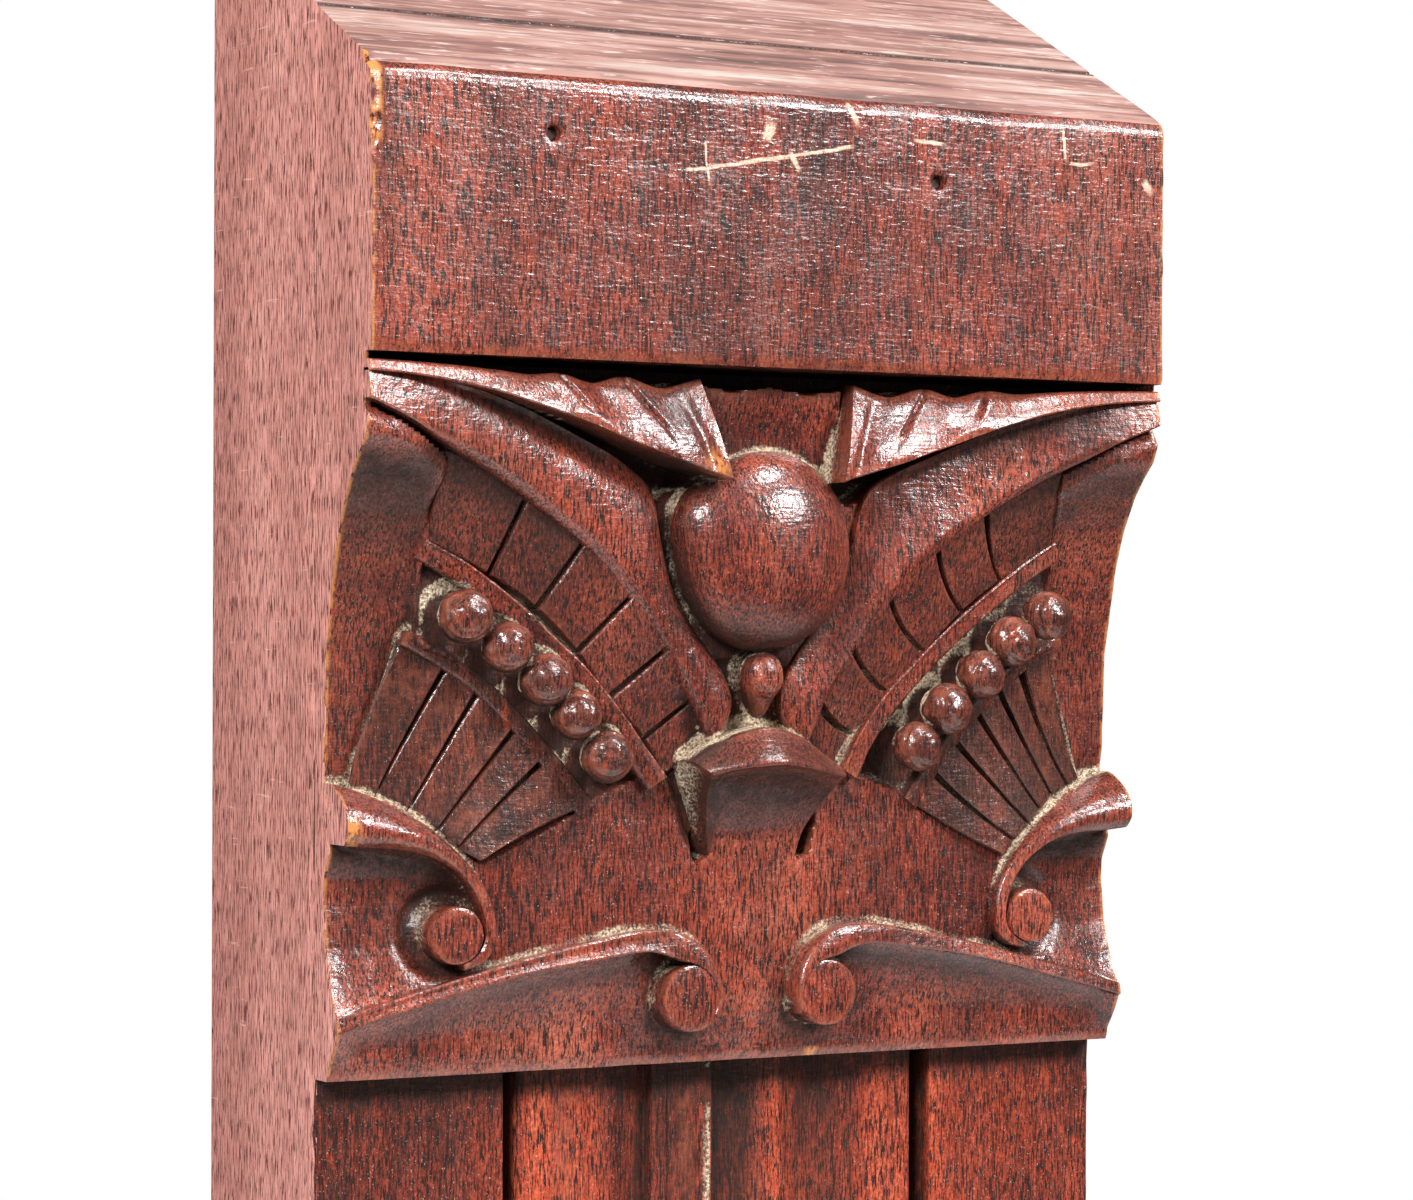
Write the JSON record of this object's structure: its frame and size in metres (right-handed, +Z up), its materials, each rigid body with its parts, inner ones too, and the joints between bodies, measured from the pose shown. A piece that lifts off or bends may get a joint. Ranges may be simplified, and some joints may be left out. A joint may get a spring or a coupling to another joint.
{
  "type": "carved pilaster head",
  "caption": "Upper end of a carved wooden pilaster: plain cap over a carved capital with a ball boss, folded flaps, bead rows, leaf fans and scrolls, on a moulded shaft with a thick back post.",
  "frame": {"origin": "middle of the sawn foot, under the centre of the bounding box", "axes": "+Z up the shaft, +Y out of the flat back, -Y out of the carved front, +X to the right seen from the front"},
  "size_m": [0.2, 0.087, 0.4493],
  "materials": {
    "bare_mahogany": "bare planed and weathered mahogany, matte, pinkish brown with dark pores; varnished only on the front margins",
    "varnished_mahogany": "old satin to glossy red-brown varnish, worn and scratched, cream dust in the recesses",
    "dark_varnish": "old purplish-brown varnish darkened by dirt, satin with sharp highlights",
    "old_iron": "dull corroded iron"
  },
  "bodies": {
    "root": {"back_post": "bare_mahogany", "centre_strip": "varnished_mahogany", "capital_block": "varnished_mahogany", "ball_boss": "varnished_mahogany", "bud_drop": "varnished_mahogany", "keystone_shell": "varnished_mahogany", "wing_flap_left": "varnished_mahogany", "v_band_left": "varnished_mahogany", "upper_rail_left": "varnished_mahogany", "side_scroll_left": "varnished_mahogany", "foot_scroll_left": "varnished_mahogany", "brick_course_left": "varnished_mahogany", "lower_rail_left": "dark_varnish", "leaf_fan_left": "dark_varnish", "bead_left_1": "dark_varnish", "bead_left_2": "dark_varnish", "bead_left_3": "dark_varnish", "bead_left_4": "dark_varnish", "bead_left_5": "dark_varnish", "wing_flap_right": "varnished_mahogany", "v_band_right": "varnished_mahogany", "upper_rail_right": "varnished_mahogany", "side_scroll_right": "varnished_mahogany", "foot_scroll_right": "varnished_mahogany", "brick_course_right": "varnished_mahogany", "lower_rail_right": "dark_varnish", "leaf_fan_right": "dark_varnish", "bead_right_1": "dark_varnish", "bead_right_2": "dark_varnish", "bead_right_3": "dark_varnish", "bead_right_4": "dark_varnish", "bead_right_5": "dark_varnish", "cap_nail_left": "old_iron", "cap_nail_right": "old_iron", "groove_nail": "old_iron"}
  },
  "joints": []
}
